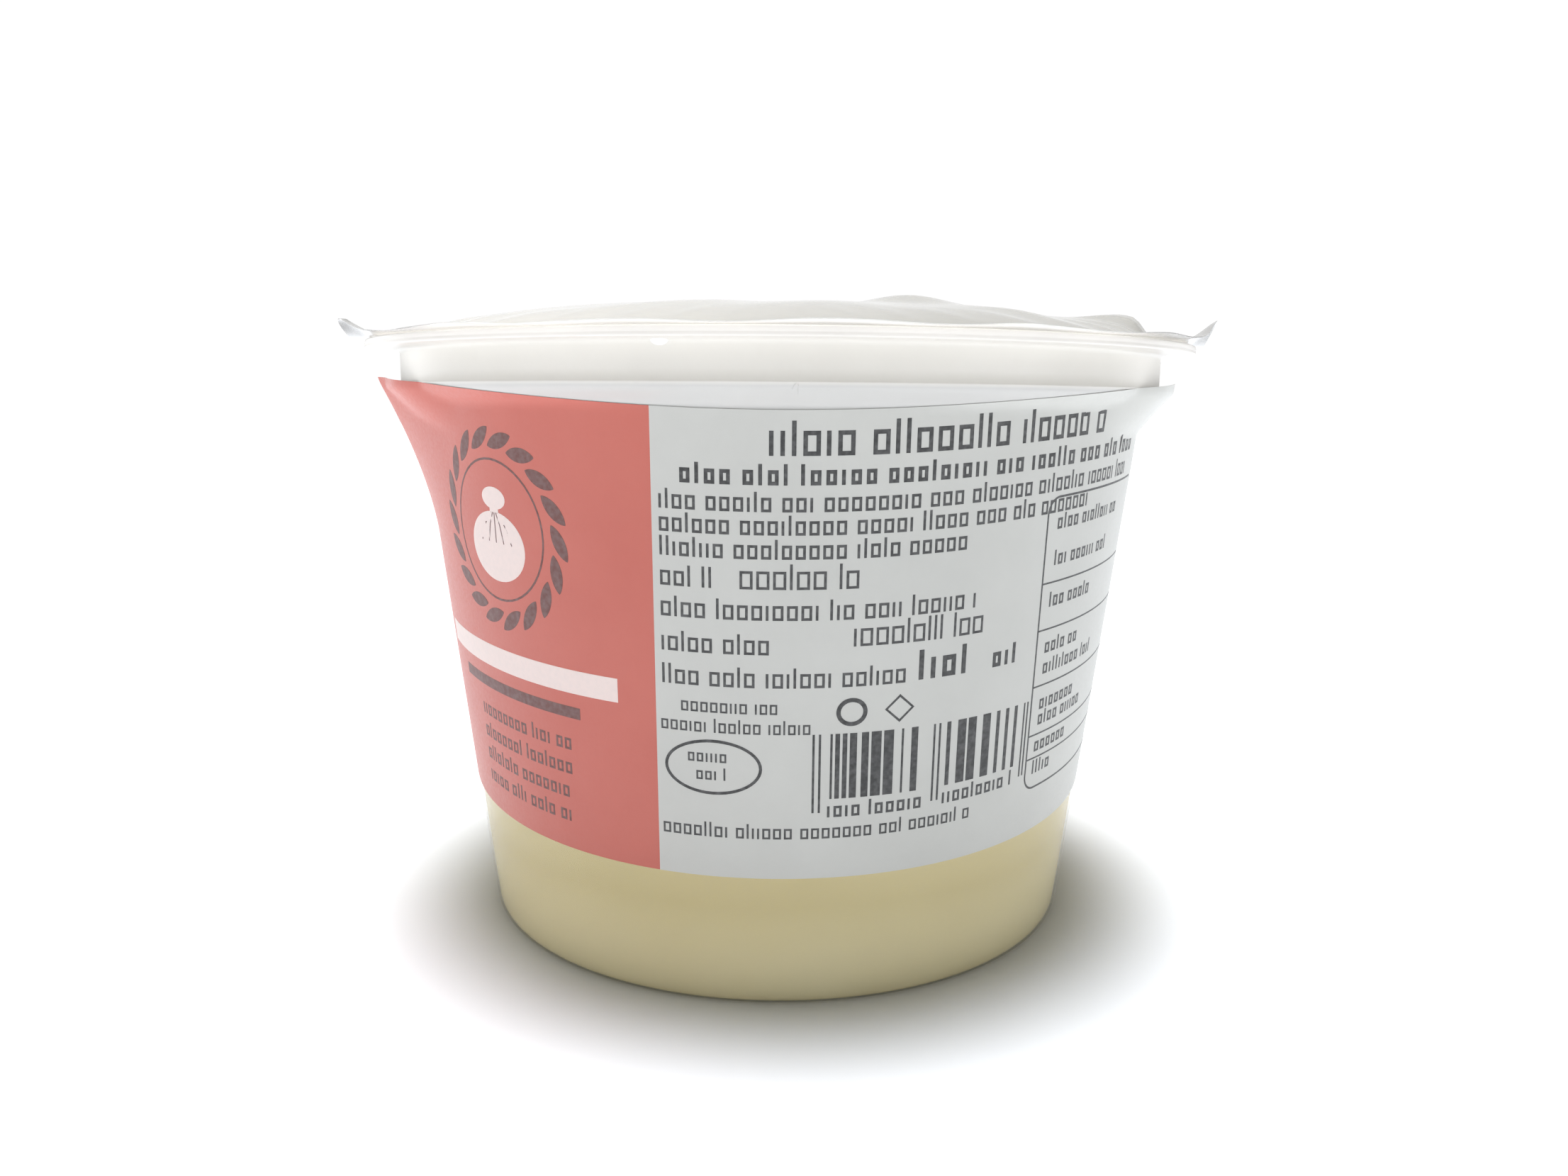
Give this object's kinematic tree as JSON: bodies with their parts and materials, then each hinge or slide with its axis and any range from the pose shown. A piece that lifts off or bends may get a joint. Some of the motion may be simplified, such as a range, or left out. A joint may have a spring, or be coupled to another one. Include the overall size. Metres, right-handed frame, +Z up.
{
  "type": "sealed tub of smoked burrata",
  "caption": "Sealed translucent tub with a puffed film lid and a wrap label, holding a ball of smoked burrata in liquid.",
  "frame": {"origin": "middle of the base, on the surface that the tub stands on", "axes": "+Z up along the tub's axis, -Y through the front of the label, +X to the right seen from the front"},
  "size_m": [0.0982, 0.0982, 0.0712],
  "materials": {
    "milky_plastic": "translucent milky polypropylene, satin outside, thin wall",
    "clear_film": "thin clear sealing film, puffed and wrinkled, glossy",
    "paper_label": "matt coated paper, coral red panel and pale grey panel with dark print",
    "liquid": "cloudy tan smoked liquid (food, not plastic)",
    "curd": "moist pale stretched curd with a light smoked tint (food, not plastic)"
  },
  "bodies": {
    "root": {"tub": "milky_plastic", "film": "clear_film", "label": "paper_label", "brine": "liquid", "burrata": "curd"}
  },
  "joints": []
}
